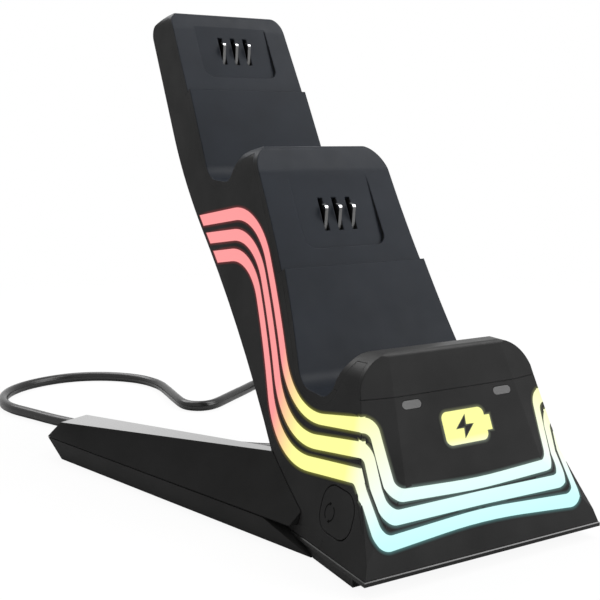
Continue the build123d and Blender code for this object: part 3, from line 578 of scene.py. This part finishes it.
def make_icon():
    """Two arrows that chase each other round a circle, laid on the button's face."""
    button_tree = BVHTree.FromBMesh(welded("mode_button"))
    sign = bmesh.new()

    def lay(across, up):
        """Corner of the sign on the button's face, from its place as seen from the left."""
        start = at(-PROBE_X, ICON_Y - across, ICON_Z + up)
        place, normal, *_ = button_tree.ray_cast(start, Vector((1, 0, 0)))
        return sign.verts.new(place + normal * ICON_LIFT * MM)

    for start, end in ICON_ARCS:
        rows = []
        for step in range(ICON_STEPS + 1):
            angle = radians(start + (end - start) * step / ICON_STEPS)
            rows.append([
                lay(radius * cos(angle), radius * sin(angle))
                for radius in (ICON_RADIUS - ICON_LINE / 2, ICON_RADIUS + ICON_LINE / 2)
            ])
        for (a, b), (c, d) in zip(rows, rows[1:]):
            sign.faces.new((a, b, d, c))
        angle = radians(end)
        tip = (
            ICON_RADIUS * cos(angle) + ARROW_LENGTH * sin(angle),
            ICON_RADIUS * sin(angle) - ARROW_LENGTH * cos(angle),
        )
        barbs = [
            (radius * cos(angle), radius * sin(angle))
            for radius in (ICON_RADIUS - ARROW_WIDTH / 2, ICON_RADIUS + ARROW_WIDTH / 2)
        ]
        sign.faces.new([lay(*barbs[0]), lay(*barbs[1]), lay(*tip)])
    bmesh.ops.recalc_face_normals(sign, faces=sign.faces)
    add_piece("button_sign", sign, "icon_ink", "mode_button")


make_icon()


# Stage: floor, world and soft lamps

FLOOR_HALF, FLOOR_TONE, FLOOR_ROUGH = 3.0, 0.92, 0.9
FLOOR_WHITE_NEAR, FLOOR_WHITE_FAR = 0.92, 1.0  # share of plain white that the camera sees
FLOOR_NEAR, FLOOR_FAR = 0.15, 0.5
WORLD_LIGHT = 0.4


def make_floor():
    """Large pale floor that reads as white and keeps the shadow."""
    mesh = bpy.data.meshes.new("floor")
    corners = [(x * FLOOR_HALF, y * FLOOR_HALF, 0) for x, y in ((-1, -1), (1, -1), (1, 1), (-1, 1))]
    mesh.from_pydata(corners, [], [(0, 1, 2, 3)])
    floor = bpy.data.objects.new("floor", mesh)
    scene.collection.objects.link(floor)
    material, tree, shader = new_material("floor_white")
    shader.inputs["Base Color"].default_value = (*grey(FLOOR_TONE), 1)
    shader.inputs["Roughness"].default_value = FLOOR_ROUGH
    shader.inputs["Specular IOR Level"].default_value = 0.0
    path = tree.nodes.new("ShaderNodeLightPath")
    white = tree.nodes.new("ShaderNodeEmission")
    mix = tree.nodes.new("ShaderNodeMixShader")
    coords = tree.nodes.new("ShaderNodeTexCoord")
    reach = tree.nodes.new("ShaderNodeVectorMath")
    reach.operation = "LENGTH"
    tree.links.new(coords.outputs["Object"], reach.inputs[0])
    share = tree.nodes.new("ShaderNodeMath")
    share.operation = "MULTIPLY"
    tree.links.new(path.outputs["Is Camera Ray"], share.inputs[0])
    whiteness = map_range(
        tree, reach.outputs["Value"], FLOOR_WHITE_NEAR, FLOOR_WHITE_FAR, FLOOR_NEAR, FLOOR_FAR
    )
    tree.links.new(whiteness, share.inputs[1])
    tree.links.new(share.outputs["Value"], mix.inputs["Fac"])
    tree.links.new(shader.outputs["BSDF"], mix.inputs[1])
    tree.links.new(white.outputs["Emission"], mix.inputs[2])
    tree.links.new(mix.outputs["Shader"], tree.nodes["Material Output"].inputs["Surface"])
    mesh.materials.append(material)


def make_world():
    """White surroundings for what the camera and reflections see, softer as a light."""
    world = bpy.data.worlds.new("studio")
    scene.world = world
    world.use_nodes = True
    tree = world.node_tree
    background = tree.nodes["Background"]
    background.inputs["Color"].default_value = (1, 1, 1, 1)
    path = tree.nodes.new("ShaderNodeLightPath")
    seen = path.outputs["Is Camera Ray"]
    for ray in ("Is Glossy Ray", "Is Transmission Ray"):
        either = tree.nodes.new("ShaderNodeMath")
        either.operation = "MAXIMUM"
        tree.links.new(seen, either.inputs[0])
        tree.links.new(path.outputs[ray], either.inputs[1])
        seen = either.outputs["Value"]
    level = map_range(tree, seen, WORLD_LIGHT, 1.0, 0.0, 1.0)
    tree.links.new(level, background.inputs["Strength"])


def make_lamp(name, place, target, size, power):
    """Soft square lamp aimed at a point."""
    data = bpy.data.lights.new(name, "AREA")
    data.size = size
    data.energy = power
    lamp = bpy.data.objects.new(name, data)
    lamp.location = place
    lamp.rotation_euler = (Vector(target) - Vector(place)).to_track_quat("-Z", "Y").to_euler()
    lamp.visible_camera = False
    scene.collection.objects.link(lamp)


make_floor()
make_world()
make_lamp("key", place=(0.65, -0.62, 0.50), target=(0, 0, 0.07), size=0.7, power=7.0)
make_lamp("top", place=(0.48, -0.10, 0.90), target=(0, 0, 0.08), size=0.5, power=4.7)
make_lamp("rim", place=(-0.12, 0.66, 0.78), target=(0, 0, 0.06), size=0.6, power=6.0)
scene.view_settings.view_transform = "Standard"
